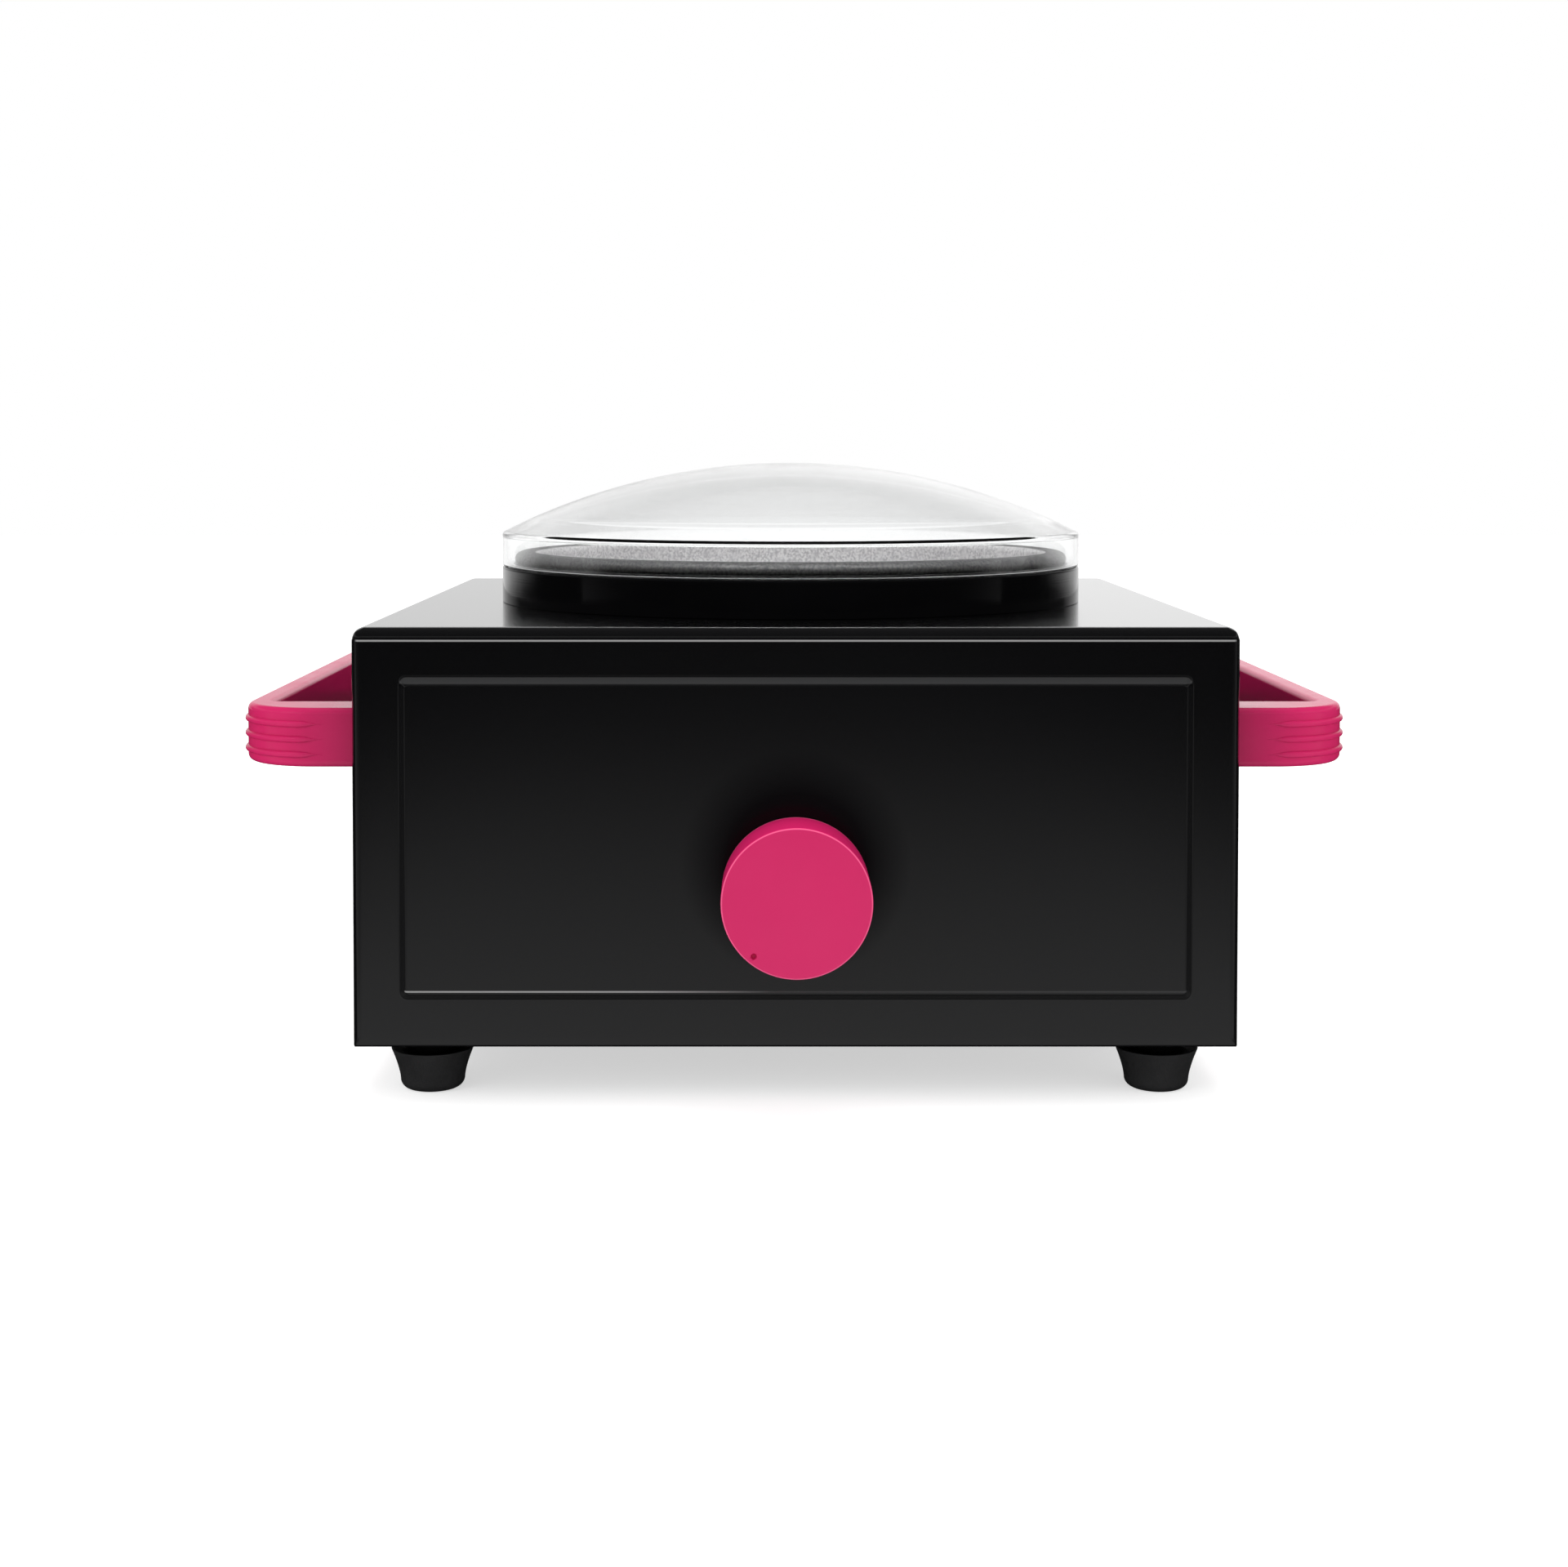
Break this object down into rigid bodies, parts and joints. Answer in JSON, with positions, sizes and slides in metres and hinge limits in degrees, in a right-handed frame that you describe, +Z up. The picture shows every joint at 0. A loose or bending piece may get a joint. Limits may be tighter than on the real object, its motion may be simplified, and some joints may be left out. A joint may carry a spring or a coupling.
{
  "type": "wax warmer",
  "caption": "Table-top wax warmer: black steel box on rubber feet with pink side handles and control knob, a lift-out pot in a heated well and a clear domed lid.",
  "frame": {"origin": "bottom centre of the whole object's box, on the table", "axes": "+Z up, -Y out of the front with the knob, +X to the right seen from the front"},
  "size_m": [0.3116, 0.2736, 0.1735],
  "materials": {
    "black_paint": "gloss black stoved paint",
    "zinc_steel": "zinc-plated sheet",
    "black_plastic": "satin gloss",
    "pink_plastic": "gloss moulded",
    "clear_plastic": "clear gloss",
    "pot_aluminium": "drawn and spun",
    "black_rubber": "matte",
    "screw_steel": "zinc plated",
    "band_steel": "heat tinted",
    "glass_wool": "fibrous",
    "case_plastic": "matte",
    "white_ceramic": "unglazed",
    "red_silicone": "matte",
    "lead_cover": "braided sleeving",
    "brass": "bright",
    "copper_tube": "drawn"
  },
  "bodies": {
    "housing": {"body_shell": "black_paint", "base_plate": "zinc_steel", "base_screws": "screw_steel", "foot_front_left": "black_rubber", "foot_front_right": "black_rubber", "foot_rear_left": "black_rubber", "foot_rear_right": "black_rubber", "foot_screws": "screw_steel", "foot_nuts": "screw_steel", "handle_left": "pink_plastic", "handle_right": "pink_plastic", "handle_screws": "screw_steel", "handle_washers": "screw_steel", "heating_well": "pot_aluminium", "well_gasket": "red_silicone", "pot_collar": "black_plastic", "collar_screws": "screw_steel", "thermostat_body": "case_plastic", "thermostat_screws": "screw_steel", "capillary_tube": "copper_tube", "sensor_bulb": "copper_tube", "bulb_clip": "zinc_steel", "thermal_fuse": "white_ceramic", "fuse_clip": "zinc_steel", "heater_band": "band_steel", "heater_terminals": "white_ceramic", "clamp_screw": "screw_steel", "clamp_nut": "screw_steel", "insulation_sleeve": "glass_wool", "terminal_block": "white_ceramic", "terminal_screws": "brass", "inner_leads": "lead_cover", "earth_stud": "brass", "earth_nut": "brass", "cord_gland": "black_plastic", "gland_nut": "black_plastic"},
    "control": {"control_knob": "pink_plastic", "knob_clip": "screw_steel", "thermostat_shaft": "screw_steel"},
    "pot": {"wax_pot": "pot_aluminium"},
    "lid": {"lid": "clear_plastic"}
  },
  "joints": [
    {"name": "knob_turn", "type": "hinge", "parent": "housing", "child": "control", "pos_m": [0, -0.11797, 0.0593], "axis": [0, 1, 0], "range_deg": [0, 280]},
    {"name": "pot_lift", "type": "slide", "parent": "housing", "child": "pot", "axis": [0, 0, 1], "range_m": [0, 0.105]},
    {"name": "lid_lift", "type": "slide", "parent": "pot", "child": "lid", "axis": [0, 0, 1], "range_m": [0, 0.06]}
  ]
}
